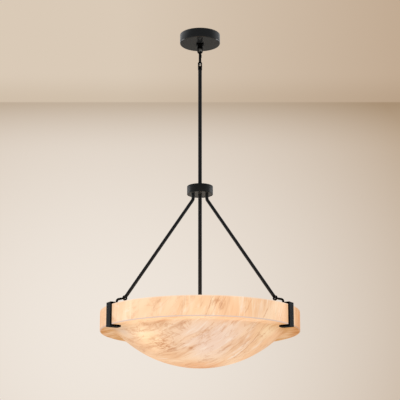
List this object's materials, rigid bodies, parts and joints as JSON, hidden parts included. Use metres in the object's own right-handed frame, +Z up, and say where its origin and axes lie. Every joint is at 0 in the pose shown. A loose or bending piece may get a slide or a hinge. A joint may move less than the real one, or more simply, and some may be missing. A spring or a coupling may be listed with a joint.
{
  "type": "dome chandelier",
  "caption": "Dome chandelier: a stone bowl in black brackets, hung by slanted arms from a hub, with a down rod, chain link and round canopy.",
  "frame": {"origin": "middle of the crossbar's top face, on the ceiling", "axes": "+Z up into the ceiling, the lamp hangs along -Z; +X along the crossbar; the third arm points along +Y"},
  "size_m": [0.6019, 0.6075, 1.0643],
  "materials": {
    "black_metal": "satin",
    "plated_steel": "zinc plated",
    "green_screw": "satin",
    "liner_rubber": "matt",
    "holder_ceramic": "gloss",
    "bulb_cap_metal": "satin",
    "bulb_glass": "frosted, lit",
    "bowl_stone": "polished, lit from inside"
  },
  "bodies": {
    "fixture": {"crossbar": "plated_steel", "ground_screw": "green_screw", "nipple": "plated_steel", "lock_nut": "plated_steel", "canopy_loop": "black_metal"},
    "canopy": {"canopy": "black_metal", "ring_nut": "black_metal"},
    "link": {"link": "black_metal", "link_sleeve": "black_metal"},
    "pendant": {"rod_eye": "black_metal", "down_rod": "black_metal", "hub_cup": "black_metal", "hub_core": "plated_steel", "hub_plate": "black_metal", "arm_nuts": "plated_steel", "arm_right": "black_metal", "arm_back": "black_metal", "arm_left": "black_metal", "arm_eye_right": "black_metal", "arm_eye_back": "black_metal", "arm_eye_left": "black_metal", "hook_right": "black_metal", "hook_back": "black_metal", "hook_left": "black_metal", "hook_nuts": "black_metal", "bracket_right": "black_metal", "bracket_back": "black_metal", "bracket_left": "black_metal", "bracket_liners": "liner_rubber", "stem": "black_metal", "stem_nut": "plated_steel", "lamp_hub": "plated_steel", "holder_right": "holder_ceramic", "holder_left": "holder_ceramic", "holder_front": "holder_ceramic", "bowl": "bowl_stone"},
    "bulb_right": {"bulb_cap_right": "bulb_cap_metal", "bulb_right": "bulb_glass"},
    "bulb_left": {"bulb_cap_left": "bulb_cap_metal", "bulb_left": "bulb_glass"},
    "bulb_front": {"bulb_cap_front": "bulb_cap_metal", "bulb_front": "bulb_glass"}
  },
  "joints": [
    {"name": "canopy_slide", "type": "slide", "parent": "fixture", "child": "canopy", "axis": [0, 0, -1], "range_m": [0, 0.02]},
    {"name": "link_swing", "type": "hinge", "parent": "fixture", "child": "link", "pos_m": [0, 0, -0.059], "axis": [1, 0, 0], "range_deg": [-30, 30]},
    {"name": "rod_swing", "type": "hinge", "parent": "link", "child": "pendant", "pos_m": [0, 0, -0.1005], "axis": [0, 1, 0], "range_deg": [-30, 30]},
    {"name": "bulb_right_draw", "type": "slide", "parent": "pendant", "child": "bulb_right", "axis": [0.866, 0.5, 0], "range_m": [0, 0.03]},
    {"name": "bulb_left_draw", "type": "slide", "parent": "pendant", "child": "bulb_left", "axis": [-0.866, 0.5, 0], "range_m": [0, 0.03]},
    {"name": "bulb_front_draw", "type": "slide", "parent": "pendant", "child": "bulb_front", "axis": [0, -1, 0], "range_m": [0, 0.03]}
  ]
}
